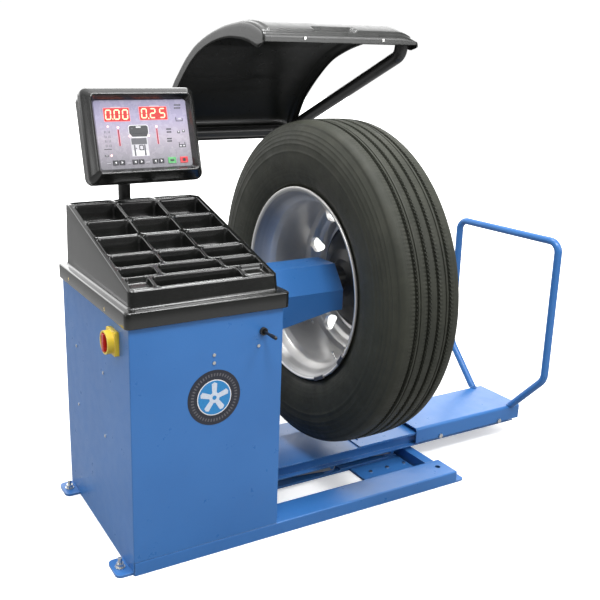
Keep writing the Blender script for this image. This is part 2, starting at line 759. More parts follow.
# ------------------------------------------------------------------ rim
RIM_OUTLINE = [      # x, radius, corner radius
    (RIM_X0, 300, 1.6), (RIM_X0, 296.5, 1.6), (RIM_X0 + 5, 287, 6), (RIM_X0 + 14, 280.5, 10),
    (RIM_X0 + 32, 271, 16), (RIM_X0 + 52, 256, 22), (RIM_X0 + 72, 250.8, 24),
    (RIM_X0 + 110, 251.6, 30), (RIM_X0 + 160, 255, 30), (RIM_X0 + 196, 256.5, 14),
    (155, 249.5, 8), (158, 239, 8), (158, 224, 8), (165, 211, 14), (190, 199, 10),
    (190, 140.5, 2), (212, 140.5, 2), (212, 203, 8), (203, 213, 12), (178, 222, 8),
    (171, 231, 8), (171, 247, 8), (162, 262, 10), (RIM_X1 - 6, 275, 6), (RIM_X1, 291, 2),
    (RIM_X1, 300, 1.8), (RIM_X1 - 7, 300, 1.8), (RIM_X1 - 12, 291, 3), (RIM_X1 - 16, 286, 2),
    (RIM_X1 - 40, 280, 8), (RIM_X1 - 60, 267, 10), (RIM_X0 + 120, 262, 10),
    (RIM_X0 + 80, 260, 10), (RIM_X0 + 58, 264, 8), (RIM_X0 + 38, 280.4, 6),
    (RIM_X0 + 16, 285.4, 2), (RIM_X0 + 11, 289, 3), (RIM_X0 + 6, 297, 3),
    (RIM_X0 + 6, 300, 1.6)]
HOLE_COUNT = 10      # of each kind
HOLE_END_X = 240
RIM_HOLES = ((3, 230.0, 25.0, 150),      # first angle in degrees, pitch radius, radius, start x
             (21, 167.5, 13.0, 170))


def build_rim():
    o = lathe("rim_aluminium", round_profile(RIM_OUTLINE, 6), 256)
    cutters = []
    for k in range(HOLE_COUNT):
        for first, pitch_radius, radius, start_x in RIM_HOLES:
            a = math.radians(360 / HOLE_COUNT * k + first)
            y, z = pitch_radius * math.sin(a), SPINDLE_Z + pitch_radius * math.cos(a)
            cutters.append(extrude_x(circle(radius, 48, y, z), (start_x, HOLE_END_X)))
    cut_away(o, join("cutters", cutters))
    shade(o, True)
    sharpen(o, 35)
    paint(o, "rim")
    stand_for(o, "rim", "spindle")


build_rim()

# ------------------------------------------------------------------ weight tray
TRAY_X0, TRAY_X1 = -709.0, -287.0
TRAY_Y0, TRAY_Y1 = -256.0, 262.0         # front and back
SLOPE_Y1 = 225.0                         # the top rises from TRAY_Y0 to here, then is level
TRAY_Z0, TRAY_Z1 = 778.0, 918.0          # height at the foot and the head of the slope
GRID_X0, GRID_X1 = TRAY_X0 + 9, TRAY_X1 - 9
GRID_Y0, GRID_Y1 = TRAY_Y0 + 6, TRAY_Y1 - 4
GRID_STEP, GRID_CLOSEST = 7.0, 0.8
WALL_OFFSETS = (0.2, 0.8, 1.2, 1.8, 2.2, 3, 3.4, 4.5, 5.0, 7.0, 9.5, 12.0)
TRAY_THICK = 46.0                        # from the sloping top to the underside
UNDER_X, UNDER_Y = 5.5, 4.0              # inset of the underside

COLUMNS = ((-696.0, -572.0), (-562.0, -443.0), (-431.0, -304.0))
ROWS = ((115.0, 211.0), (23.0, 105.0), (-74.0, 10.0), (-139.0, -86.0))
# pockets: x0, x1, y0, y1, depth, corner radius
POCKETS = [(*column, *row, 44.0, 9.0) for row in ROWS for column in COLUMNS]
POCKETS += [(*column, 226.0, 252.0, 34.0, 7.0) for column in COLUMNS]
POCKETS += [
    (-698.0, -604.0, -190.0, -151.0, 34.0, 9.0), (-589.0, -418.0, -192.0, -151.0, 36.0, 9.0),
    (-408.0, -303.0, -192.0, -151.0, 34.0, 9.0), (-697.0, -637.0, -247.0, -196.0, 12.0, 9.0),
    (-627.0, -386.0, -247.0, -203.0, 34.0, 9.0), (-375.0, -302.0, -247.0, -198.0, 12.0, 9.0)]
POCKET_EDGE_DROP = 1.2
# raised plateaus in the two shallow front pockets: x0, x1, y0, y1
PLATEAUS = ((-692.0, -645.0, -236.0, -211.0), (-366.0, -314.0, -234.0, -205.0))
PLATEAU_HEIGHT, PLATEAU_CORNER = 6.0, 5

# rounded outer edge: growth of the ring, height against the slope
TRAY_EDGE = ((2.0, 0.2), (4.5, 0.0), (6.8, -0.7), (8.2, -1.8), (9.0, -3.4), (9.3, -6.0))
SKIRT_Z = 742.0
# below the skirt, growth, height, corner radius: the fillet out to the foot, then the foot
FILLET = ((0.9, 740.0, 15), (2.4, 737.0, 16), (5.0, 735.4, 18), (9.0, 735.0, 20))
FOOT = ((17.5, 735.0, 18), (19.6, 734.6, 17), (21.2, 733.2, 16), (22.0, 731.0, 15),
        (22.0, 712.0, 15), (22.0, 694.0, 15), (21.2, 692.3, 14), (19.4, 692.2, 13),
        (18.6, 693.4, 12), (18.4, 728.0, 12))
# (y, z) notch in the foot on the wheel side, round the spindle housing
TRAY_NOTCH = ((-99, 640), (-99, 655.2), (-48, 727.5), (48, 727.5), (99, 655.2), (99, 640))


def tray_top(y):
    rise = (np.clip(y, TRAY_Y0, SLOPE_Y1) - TRAY_Y0) / (SLOPE_Y1 - TRAY_Y0)
    return TRAY_Z0 + rise * (TRAY_Z1 - TRAY_Z0)


def grid_lines(low, high, walls):
    """Evenly spaced lines with finer ones beside every pocket wall."""
    marks = {high}
    v = low
    while v < high:
        marks.add(round(v, 2))
        v += GRID_STEP
    for wall in walls:
        for offset in WALL_OFFSETS:
            for v in (wall - offset, wall + offset):
                if low < v < high:
                    marks.add(round(v, 2))
    lines = []
    for v in sorted(marks):
        if not lines or v - lines[-1] >= GRID_CLOSEST:
            lines.append(v)
    lines[-1] = high
    return lines


def box_distance(px, py, x0, x1, y0, y1, r):
    """Signed distance to a rounded rectangle, negative inside."""
    qx = np.abs(px - (x0 + x1) / 2) - ((x1 - x0) / 2 - r)
    qy = np.abs(py - (y0 + y1) / 2) - ((y1 - y0) / 2 - r)
    outside = np.hypot(np.maximum(qx, 0), np.maximum(qy, 0))
    return outside + np.minimum(np.maximum(qx, qy), 0) - r


def tray_surface(px, py):
    """Height of the pocketed top over a grid of points."""
    drop, lip = np.zeros_like(px), np.zeros_like(px)
    for x0, x1, y0, y1, depth, r in POCKETS:
        d = box_distance(px, py, x0, x1, y0, y1, r)
        floor = 1 - (1 - np.clip(-d / 6.0, 0, 1)) ** 2.4
        shoulder = smooth01(np.clip((2.2 - d) / 2.6, 0, 1))
        drop = np.maximum(drop, np.where(d < 0, POCKET_EDGE_DROP + floor * depth,
                                         shoulder * POCKET_EDGE_DROP))
        lip = np.maximum(lip, np.exp(-((d - 1.6) / 1.5) ** 2))
    for plateau in PLATEAUS:
        d = box_distance(px, py, *plateau, PLATEAU_CORNER)
        drop = drop - PLATEAU_HEIGHT * smooth01(np.clip(-d / 3.0 + 0.5, 0, 1))
    return tray_top(py) - drop + lip * 2.0


def tray_ring(base, grow_x, grow_front, grow_back, r):
    """Map the grid's border points onto a rounded rectangle grown from the tray's plan."""
    x0, x1 = TRAY_X0 - grow_x, TRAY_X1 + grow_x
    y0, y1 = TRAY_Y0 - grow_front, TRAY_Y1 + grow_back
    cx, cy, half_x, half_y = (x0 + x1) / 2, (y0 + y1) / 2, (x1 - x0) / 2, (y1 - y0) / 2
    flat_x, flat_y = half_x - r, half_y - r
    ring = []
    for px, py in base:
        x = cx + (px - (GRID_X0 + GRID_X1) / 2) / ((GRID_X1 - GRID_X0) / 2) * half_x
        y = cy + (py - (GRID_Y0 + GRID_Y1) / 2) / ((GRID_Y1 - GRID_Y0) / 2) * half_y
        dx, dy = abs(x - cx) - flat_x, abs(y - cy) - flat_y
        if dx > 0 and dy > 0:
            a = math.atan2(dy, dx)
            x, y = (cx + math.copysign(flat_x + r * math.cos(a), x - cx),
                    cy + math.copysign(flat_y + r * math.sin(a), y - cy))
        ring.append((x, y))
    return ring


def build_tray():
    lines_x = grid_lines(GRID_X0, GRID_X1, {v for pocket in POCKETS for v in pocket[0:2]})
    lines_y = grid_lines(GRID_Y0, GRID_Y1, {v for pocket in POCKETS for v in pocket[2:4]})
    px, py = np.meshgrid(np.array(lines_x), np.array(lines_y), indexing="ij")
    nx, ny = px.shape
    top = tray_surface(px, py)
    verts = [(x * MM, y * MM, z * MM) for x, y, z in zip(px.flat, py.flat, top.flat)]
    top_faces = [(i * ny + j, (i + 1) * ny + j, (i + 1) * ny + j + 1, i * ny + j + 1)
                 for i in range(nx - 1) for j in range(ny - 1)]
    faces = list(top_faces)
    border = grid_border(nx, ny)
    border = border[:1] + border[:0:-1]
    base = [(px.flat[k], py.flat[k]) for k in border]
    last = border

    def add_ring(ring, heights):
        nonlocal last
        ids = list(range(len(verts), len(verts) + len(ring)))
        verts.extend((x * MM, y * MM, z * MM) for (x, y), z in zip(ring, heights))
        for q in range(len(ids)):
            k = (q + 1) % len(ids)
            faces.append((last[q], last[k], ids[k], ids[q]))
        last = ids

    for out, dz in TRAY_EDGE:
        ring = tray_ring(base, out - 9.6, out * 0.75 - 6.6, out * 0.55 - 4.6, 3 + out * 1.1)
        edge_z = [tray_top(y) + dz for _, y in ring]
        add_ring(ring, edge_z)
    for t in (0.25, 0.5, 0.75, 0.93):        # skirt down the sides
        add_ring(tray_ring(base, 1.2 * t - 0.3, 0.4 + 6 * t, 0.6 + 6 * t, 14.0),
                 [z + (SKIRT_Z - z) * t for z in edge_z])
    for out, z, r in FILLET:
        add_ring(tray_ring(base, out, 6 + out * 0.9, 6.5 + out * 0.9, r), [z] * len(base))
    for out, z, r in FOOT:
        add_ring(tray_ring(base, out, 11 + out, 5 + out, r), [z] * len(base))
    add_ring(tray_ring(base, -4.5, 1, 1, 10), [730.5] * len(base))
    # the underside follows the slope
    add_ring(tray_ring(base, -UNDER_X, -UNDER_Y, -UNDER_Y, 10),
             [tray_top(y) - TRAY_THICK for _, y in base])
    # close it with a grid that mirrors the top one
    low_x = (TRAY_X0 + UNDER_X
             + (px - GRID_X0) / (GRID_X1 - GRID_X0) * (TRAY_X1 - TRAY_X0 - 2 * UNDER_X))
    low_y = (TRAY_Y0 + UNDER_Y
             + (py - GRID_Y0) / (GRID_Y1 - GRID_Y0) * (TRAY_Y1 - TRAY_Y0 - 2 * UNDER_Y))
    low_z = tray_top(low_y) - TRAY_THICK
    low = dict(zip(border, last))
    for k in range(nx * ny):
        if k not in low:
            low[k] = len(verts)
            verts.append((low_x.flat[k] * MM, low_y.flat[k] * MM, low_z.flat[k] * MM))
    faces += [tuple(low[k] for k in reversed(face)) for face in top_faces]
    o = mesh_obj("weight_tray_moulding", verts, faces)
    fix_normals(o)
    sharpen(o, 75)
    cut_away(o, extrude_x(TRAY_NOTCH, (-282.5, -262.0)))
    paint(o, "abs_tray")
    stand_for(o, "weight_tray", "root")


build_tray()

# ------------------------------------------------------------------ hood
HOOD_TOP = [         # (y, z) along the top of the arch, front to back
    (76, 1378), (76, 1388), (76.2, 1396), (78.5, 1404), (84, 1411), (96, 1417.5),
    (118, 1426), (145, 1434), (178, 1439.5), (215, 1442), (248, 1441), (314, 1436),
    (384, 1425), (456, 1408), (533, 1382), (575, 1361), (615, 1337), (650, 1311),
    (684, 1283), (708, 1264), (729, 1243), (757, 1212), (788, 1162), (808, 1118),
    (819, 1076), (823.5, 1037)]
HOOD_UNDER = [       # (y, z) of the side walls' lower edge, point for point with HOOD_TOP
    (81, 1376), (84, 1374.5), (87, 1373), (91, 1371), (95, 1369), (100, 1366.5),
    (109, 1364), (132, 1370), (158, 1379), (190, 1385.5), (221, 1390), (286, 1395),
    (355, 1391), (426, 1379), (502, 1355), (546, 1334), (584, 1311), (618, 1286),
    (648, 1262), (670, 1243), (692, 1223), (722, 1192), (752, 1146), (771, 1110),
    (784, 1070), (788, 1037)]
HOOD_LIP = [         # (y, z, corner radius) of the bead along the rear lower edge
    (823.5, 1056, 1), (823.5, 1031, 3), (806, 1031, 2), (806, 1036, 2), (817, 1038, 2),
    (817, 1056, 1)]
HOOD_X0, HOOD_X1 = -157.0, 418.0
HOOD_CORNER = 9.0
HOOD_SKIN = 4.2
ARCH_SAMPLES, FRONT_SAMPLES = 200, 26
FRONT_LENGTH = 60                        # densely sampled length along the arch
ROLL_WIDTH, ROLL_DROP = 78.0, 30.0       # the +X side of the top bends down


def smoothstep(a, b, v):
    return smooth01(min(max((v - a) / (b - a), 0.0), 1.0))


def sample_curve(points, lengths, v):
    """Cubic through the points at length v."""
    n = len(points)
    i = int(np.clip(np.searchsorted(lengths, v) - 1, 0, n - 2))
    before, after = max(i - 1, 0), min(i + 2, n - 1)
    p1, p2 = points[i], points[i + 1]
    span = lengths[i + 1] - lengths[i]
    m1 = (p2 - points[before]) / (lengths[i + 1] - lengths[before]) * span
    m2 = (points[after] - p1) / (lengths[after] - lengths[i]) * span
    u = (v - lengths[i]) / span
    return ((2 * u ** 3 - 3 * u ** 2 + 1) * p1 + (u ** 3 - 2 * u ** 2 + u) * m1
            + (-2 * u ** 3 + 3 * u ** 2) * p2 + (u ** 3 - u ** 2) * m2)


def hood_columns():
    """Columns across the hood as (x, kind, value), from the -X wall to the +X wall.

    The value is a wall's share of its depth, or a corner's depth below the top.
    """
    side = [(HOOD_X0, "wall", 1 - k / 5 * 0.70) for k in range(6)]
    for k in range(1, 8):
        a = math.pi / 2 * k / 8
        side.append((HOOD_X0 + HOOD_CORNER * (1 - math.cos(a)), "corner",
                     HOOD_CORNER * (1 - math.sin(a))))
    top = np.r_[np.linspace(HOOD_X0 + HOOD_CORNER, HOOD_X0 + 60, 22),
                np.linspace(HOOD_X0 + 60, HOOD_X1 - 60, 90)[1:-1],
                np.linspace(HOOD_X1 - 60, HOOD_X1 - HOOD_CORNER, 22)]
    return (side + [(float(x), "top", 0.0) for x in top]
            + [(HOOD_X0 + HOOD_X1 - x, kind, v) for x, kind, v in reversed(side)])


def hood_relief(s, x, arch_length):
    """Raised field on the top with a sunk slot; s is the length from the front edge."""
    margin = min(x - HOOD_X0, HOOD_X1 - x)
    field = (smoothstep(20, 27, margin) * smoothstep(35, 42, s)
             * (1 - smoothstep(arch_length - 70, arch_length - 58, s)))
    slot = (smoothstep(24, 32, x) * (1 - smoothstep(172, 180, x))
            * smoothstep(37, 41, s) * (1 - smoothstep(57, 62, s)))
    return 4.0 * field - 9.0 * slot


def build_hood():
    top, under = np.array(HOOD_TOP, float), np.array(HOOD_UNDER, float)
    lengths = np.r_[0, np.cumsum(np.hypot(*np.diff(top, axis=0).T))]
    stations = np.r_[np.linspace(0, FRONT_LENGTH, FRONT_SAMPLES, endpoint=False),
                     np.linspace(FRONT_LENGTH, lengths[-1], ARCH_SAMPLES - FRONT_SAMPLES)]
    outer = np.array([sample_curve(top, lengths, s) for s in stations])
    inner = np.array([sample_curve(under, lengths, s) for s in stations])
    tangent = np.gradient(outer, axis=0)
    tangent /= np.linalg.norm(tangent, axis=1)[:, None]
    normal = np.c_[-tangent[:, 1], tangent[:, 0]]        # away from the wheel
    columns = hood_columns()
    verts, faces = [], []
    for s, start, out, end in zip(stations, outer, normal, inner):
        depth = np.linalg.norm(end - start)
        down = (end - start) / depth
        for x, kind, v in columns:
            roll = ROLL_DROP * max(0.0, (x - (HOOD_X1 - ROLL_WIDTH)) / ROLL_WIDTH) ** 2
            roll *= smoothstep(4, 44, s)
            if kind == "wall":
                if depth > HOOD_CORNER:
                    reach = HOOD_CORNER + (depth - HOOD_CORNER) * (v - 0.30) / 0.70
                else:
                    reach = depth * v
                q = start + down * reach
                if x > 0:
                    roll = roll * (1 - v) + 4.0 * (1 - smoothstep(10, 60, s))
            elif kind == "corner":
                q = start + down * min(v, depth * 0.3)
            else:
                q = start + out * hood_relief(s, x, lengths[-1])
            verts.append((x * MM, q[0] * MM, (q[1] - roll) * MM))
    n = len(columns)
    for i in range(ARCH_SAMPLES - 1):
        for j in range(n - 1):
            faces.append((i * n + j, i * n + j + 1, (i + 1) * n + j + 1, (i + 1) * n + j))
    o = mesh_obj("hood_moulding", verts, faces)
    fix_normals(o, top_up=True)
    skin = o.modifiers.new("skin", "SOLIDIFY")
    skin.thickness = HOOD_SKIN * MM
    skin.offset = -1
    skin.use_even_offset = False
    skin.use_rim = True
    apply_mods(o)
    shade(o, True)
    lip = extrude_x(round_profile(HOOD_LIP, 4),
                    (HOOD_X0 + 1, HOOD_X0 + 3, HOOD_X1 - 3, HOOD_X1 - 1))
    paint(lip, "abs_hood")
    paint(o, "abs_hood")
    stand_for(join("hood_moulding", [o, lip]), "hood_shell", "guard")


build_hood()

# ------------------------------------------------------------------ display
TILT = math.radians(17.0)
DISPLAY_CENTRE = Vector((-500.0, 141.0, 1123.5)) * MM
ACROSS = Vector((1, 0, 0))
UPWARD = Vector((0, math.sin(TILT), math.cos(TILT)))
FORWARD = Vector((0, -math.cos(TILT), math.sin(TILT)))
FILM = -8.05         # level of the panel film along FORWARD
BEZEL = (            # half width, half height, corner radius, level: round the section
    (161, 123, 16, -45), (167, 129, 18, -44.6), (171, 133, 20, -42.5),
    (174, 136, 21.5, -38.5), (175, 137, 22, -33), (175, 137, 22, -26),
    (174.4, 136.4, 22, -21.5), (172.4, 134.4, 21.5, -17.0), (169, 131, 20.5, -12.0),
    (164.6, 126.4, 18.5, -6.0), (160.4, 121.6, 16.5, 0.0), (157.0, 117.4, 15, 5.0),
    (154.8, 114.6, 13.5, 8.4), (153.4, 112.8, 12.5, 10.0), (152.0, 111.2, 12, 10.4),
    (150.6, 109.8, 11.6, 10.0), (149.6, 108.6, 11.2, 8.6), (148.6, 107.2, 10.8, 6.4),
    (146.4, 104.4, 10, 2.4), (143.8, 101.0, 9, -2.6), (141.8, 98.6, 8, -6.4),
    (140.8, 97.6, 7.4, -8.0), (140.6, 97.4, 7.2, -8.6), (144.6, 101.6, 8, -12.2),
    (152, 110, 11, -13.0), (165, 127, 17, -16), (166, 128, 18, -30), (160, 122, 16, -44.0))


def on_display(points, level):
    """Points in metres for (across, up) places at a level on the tilted display."""
    return [DISPLAY_CENTRE + (ACROSS * u + UPWARD * v + FORWARD * level) * MM
            for u, v in points]


def build_bezel():
    loops = [on_display(rounded_rect(2 * a, 2 * b, r, 10), level) for a, b, r, level in BEZEL]
    o = loops_obj("display_bezel", loops, wrap=True)
    sharpen(o, 60)
    paint(o, "abs_bezel")
    stand_for(o, "display_housing", "display")


def plate(points, bottom, top, ink):
    """Flat print on the film; bottom and top are levels above it."""
    return slab(on_display(points, bottom + FILM), on_display(points, top + FILM), ink)


def disc(u, v, r, bottom, top, ink, count=16):
    return plate(circle(r, count, u, v), bottom, top, ink)


def rect(u, v, w, h, bottom, top, ink, corner=0.0):
    if corner > 0:
        points = rounded_rect(w, h, corner, 4)
    else:
        points = ((-w / 2, -h / 2), (w / 2, -h / 2), (w / 2, h / 2), (-w / 2, h / 2))
    return plate([(u + x, v + y) for x, y in points], bottom, top, ink)


def stamp(spots, *layers):
    """Repeat rectangles at spots (u, v).

    A layer is (du, dv, width, height, bottom, top, ink[, corner radius]).
    """
    return [rect(u + du, v + dv, *rest) for u, v in spots for du, dv, *rest in layers]


SEGMENTS = {"0": "abcdef", "2": "abged", "5": "afgcd"}
DIGIT_X, DIGIT_Y = 14.5 / 2, 26 / 2      # half width and height
DIGIT_BAR, DIGIT_GAP, DIGIT_SLANT = 3.6, 0.4, 0.06
SEGMENT_ENDS = {
    "a": (-DIGIT_X, DIGIT_Y, DIGIT_X, DIGIT_Y), "b": (DIGIT_X, 0, DIGIT_X, DIGIT_Y),
    "c": (DIGIT_X, -DIGIT_Y, DIGIT_X, 0), "d": (-DIGIT_X, -DIGIT_Y, DIGIT_X, -DIGIT_Y),
    "e": (-DIGIT_X, -DIGIT_Y, -DIGIT_X, 0), "f": (-DIGIT_X, 0, -DIGIT_X, DIGIT_Y),
    "g": (-DIGIT_X, 0, DIGIT_X, 0)}


def digit(character, u, v):
    """Seven-segment digit of pointed, slightly slanted bars."""
    bars = []
    for segment in SEGMENTS[character]:
        x0, y0, x1, y1 = SEGMENT_ENDS[segment]
        length = math.hypot(x1 - x0, y1 - y0)
        ux, uy = (x1 - x0) / length, (y1 - y0) / length
        half, gap = DIGIT_BAR / 2, DIGIT_GAP
        points = []
        for a, b in ((gap, 0.0), (half + gap, half), (length - half - gap, half),
                     (length - gap, 0), (length - half - gap, -half), (half + gap, -half)):
            x, y = x0 + ux * a - uy * b, y0 + uy * a + ux * b
            points.append((u + x + y * DIGIT_SLANT, v + y))
        bars.append(plate(points, 0.2, 1.0, "led_digit"))
    return bars


def number_windows():
    parts = []
    for u, v, width, places, text in ((-76.0, 56.3, 76.0, (-101.4, -75.9, -50.8), "000"),
                                      (35.5, 58.5, 85.0, (7.0, 33.7, 63.2), "025")):
        parts += stamp([(u, v)], (0, 0, width + 3, 40, 0.0, 0.3, "led_glow", 3),
                       (0, 0, width, 37, 0.3, 0.6, "led_window", 2))
        for place, character in zip(places, text):
            parts += digit(character, place, v)
        parts.append(disc(places[0] + 12.6, 44, 1.9, 0.6, 1.1, "led_digit", 12))
    # small bars above the windows
    return parts + stamp([(-76.7, 77.6), (41.0, 79.3)], (0, 0, 30, 1.8, 0.0, 0.25, "ink_light", 0.8))


def left_pictograms():
    parts = [disc(-107.0, 23.3, 2.6, 0, 0.6, "led_dot")]
    marks = []
    for side in (-1, 1):
        marks += [(side * 7.5, 0, 1.4, 7, 0, 0.25, "ink_grey"),
                  (side * 3.4, -2, 3.8, 1.2, 0, 0.25, "ink_grey"),
                  (side * 3.4, 1.4, 2.8, 1.2, 0, 0.25, "ink_grey")]
    parts += stamp([(-111.0, v) for v in (8, -5, -18, -31)], *marks)
    parts += stamp([(0, 0)], (-114, -40.7, 22, 1.6, 0, 0.25, "ink_dark"),
                   (-120, -59, 11, 4.6, 0, 0.25, "ink_dark", 1),
                   (-120, -59, 7, 1.8, 0.25, 0.45, "ink_light"))
    parts.append(disc(-106, -58.6, 2.8, 0, 0.6, "led_dot"))
    return parts


def position_bars():
    parts = []
    top = 14.0
    for u, bottom in ((-77.0, -32.5), (40.2, -31.0)):
        height = top - bottom
        parts += stamp([(u, (top + bottom) / 2)],
                       (0, 0, 6.0, height, 0.0, 0.25, "led_glow", 1),
                       (0, 0, 3.2, height, 0.25, 0.6, "bar_dark", 1))
        parts.append(disc(u, 20, 3.2, 0.0, 0.5, "led_dot"))
    return parts


def middle_pictogram():
    """Dark cut-cornered block over a pale field with two legs."""
    block = [(-45, 20), (-41, 24), (9, 24), (13, 20), (13, 4), (7, -8), (-37, -8), (-45, 2)]
    outline = [(-16 + (u + 16) * 1.06, 8 + (v - 8) * 1.12) for u, v in block]
    parts = [plate(outline, 0.0, 0.2, "ink_white"), plate(block, 0.2, 0.45, "ink_mid")]
    parts += stamp([(0, 0)], (-16, 19.5, 15, 3.4, 0.45, 0.7, "ink_white", 1),
                   (-16, 1.5, 40, 1.2, 0.45, 0.6, "ink_dark", 0.5),
                   (-36, 16, 5, 3.0, 0.45, 0.6, "ink_grey", 1))
    parts += [disc(u, -6, 2.8, 0.2, 0.7, "led_dot") for u in (-45.0, 13.5)]
    for points, bottom, top, ink in (
            ([(-44, -10), (8, -10), (9, -64), (-44, -64)], 0.0, 0.2, "ink_light"),
            ([(-42, -12), (5, -12), (5, -30), (-42, -30)], 0.2, 0.4, "ink_grey"),
            ([(-36, -31), (-32, -31), (-31, -62), (-37, -62)], 0.4, 0.55, "ink_grey"),
            ([(-5, -31), (-1, -31), (0, -62), (-6, -62)], 0.4, 0.55, "ink_grey"),
            ([(-41, -30), (4, -30), (5, -46), (-41, -46)], 0.2, 0.4, "ink_light"),
            ([(-41, -47), (5, -47), (6, -62), (-41, -62)], 0.2, 0.4, "ink_white")):
        parts.append(plate(points, bottom, top, ink))
    parts += stamp([(-13.4, -39.5)], (0, 0, 14, 16, 0.4, 0.65, "ink_dark", 3),
                   (0, 0, 9, 11, 0.65, 0.8, "ink_light", 2))
    parts.append(disc(-29, -41, 1.6, 0.4, 0.7, "ink_dark"))
    return parts


def right_pictograms():
    parts = stamp([(113.8, 81.2), (112.6, 72.4)], (0, 0, 21, 3.4, 0, 0.3, "ink_dark", 1),
                  (0, 0, 14, 0.9, 0.3, 0.5, "ink_grey"))
    # box open at the top
    parts += stamp([(114.6, 40.0)], (0, -5.5, 22.0, 1.8, 0, 0.3, "ink_dark"),
                   (-10, 0, 1.8, 13.0, 0, 0.3, "ink_dark"),
                   (10, -2, 1.8, 9.0, 0, 0.3, "ink_dark"),
                   (2, 1, 9, 3.6, 0, 0.3, "ink_light", 1.2))
    parts += stamp([(77.5, 11.5), (77.6, 2.8), (76.2, -16.5), (75.9, -23.5)],
                   (0, 0, 15, 3.8, 0, 0.3, "ink_dark", 1),
                   (0, 0, 9, 1.3, 0.3, 0.5, "ink_grey"))
    parts += stamp([(108.0, 1.9), (123.8, 4.4)], (0, 0, 8.6, 7.4, 0, 0.3, "ink_dark", 1),
                   (0, 1, 5, 4.4, 0.3, 0.5, "ink_light", 1))
    return parts + stamp([(114.7, -38.4)], (0, 0, 22, 9, 0, 0.3, "ink_dark", 1.5),
                         (0, 0, 17, 4.6, 0.3, 0.5, "ink_light", 1),
                         (0, 0, 3, 5.4, 0.5, 0.7, "ink_dark"),
                         (-9, 7.4, 2, 6.4, 0, 0.3, "ink_dark"),
                         (9, 7.4, 2, 6.4, 0, 0.3, "ink_dark"))


def key_rules():
    """Short rules beside the arrow keys."""
    return stamp([(-116.7, -80.7), (-56.1, -81.8), (0.6, -81.5)],
                 (0, 0, 11, 1.2, 0, 0.25, "ink_light"),
                 (0, -3.4, 8, 1.0, 0, 0.25, "ink_grey"))


def build_graphics():
    parts = (number_windows() + left_pictograms() + position_bars() + middle_pictogram()
             + right_pictograms() + key_rules())
    add_extra(join("panel_print", parts), "display")


KEYS_V = -79.5
ARROW_KEYS_U = (-96.0, -77.0, -37.5, -18.5, 24.0, 43.0)
KEY_SECTION = (      # shrink, corner radius, level: up the side and over the edge
    (0.0, 2.0, -5.0), (0.0, 2.0, 0.6), (0.5, 2.0, 1.2), (1.4, 1.8, 1.6), (4.0, 1.6, 1.25),
    (7.0, 1.0, 1.15))
MARK = (1.0, 1.75)   # bottom and top level of the marks on the keys


def build_key(name, u, w, h, material, mark):
    loops = []
    for shrink, r, level in KEY_SECTION:
        outline = rounded_rect(w - shrink, h - shrink, r, 5)
        loops.append(on_display([(u + x, KEYS_V + y) for x, y in outline], level + FILM))
    cap = paint(loops_obj("part", loops), material)
    stand_for(join(name + "_cap", [cap, mark()]), name, name)


def build_keys():
    for i, u in enumerate(ARROW_KEYS_U):
        way = 1 if i % 2 else -1         # the pairs point away from each other
        arrow = [(u + way * 3.2, KEYS_V), (u - way * 2.4, KEYS_V + 3.6),
                 (u - way * 2.4, KEYS_V - 3.6)]
        build_key("key_arrow_%d" % (i + 1), u, 17.0, 14.0, "key_dark",
                  lambda: plate(arrow, *MARK, "ink_white"))
    build_key("key_start", 76.5, 25.0, 18.0, "key_green",
              lambda: rect(76.5, KEYS_V, 12, 5, *MARK, "key_dark", 1.5))
    build_key("key_stop", 114.5, 25.0, 18.0, "key_red",
              lambda: rect(114.5, KEYS_V, 9, 9, *MARK, "ink_dark", 2))


build_bezel()
build_graphics()
build_keys()

# ------------------------------------------------------------------ badge
BADGE_X, BADGE_Y, BADGE_Z = -487.0, -281.0, 471.0


def badge_layer(points, bottom, top, ink):
    """Plate on the badge; levels grow towards the front."""
    return slab(*[[((BADGE_X + a) * MM, (BADGE_Y - level) * MM, (BADGE_Z + b) * MM)
                   for a, b in points] for level in (bottom, top)], ink)


def polar(points, turn):
    return [(r * math.cos(turn + a), r * math.sin(turn + a)) for r, a in points]


def build_badge():
    """A ring of 48 blocks round a disc with a five-armed wheel."""
    block = ((60, -0.028), (68, -0.036), (68, 0.020), (60, 0.028))
    arm = ((12, -0.55), (40, -0.20), (43, 0.0), (40, 0.20), (12, 0.55))
    parts = [badge_layer(circle(77, 96), 0.0, 0.8, "ink_navy")]
    for k in range(48):
        parts.append(badge_layer(polar(block, TAU * k / 48), 0.8, 1.1, "ink_grey"))
    parts.append(badge_layer(circle(50, 96), 0.8, 1.1, "ink_white"))
    parts.append(badge_layer(circle(47.5, 96), 1.1, 1.3, "ink_blue"))
    for k in range(5):
        turn = TAU * k / 5 + math.pi / 2
        parts.append(badge_layer(polar(arm, turn), 1.3, 1.5, "ink_pale"))
    parts.append(badge_layer(circle(15, 48), 1.5, 1.7, "ink_pale"))
    parts.append(badge_layer(circle(6, 32), 1.7, 1.9, "ink_blue"))
    stand_for(join("badge_print", parts), "badge", "root")


build_badge()

# ------------------------------------------------------------------ stage
FLOOR_HALF = 30      # metres
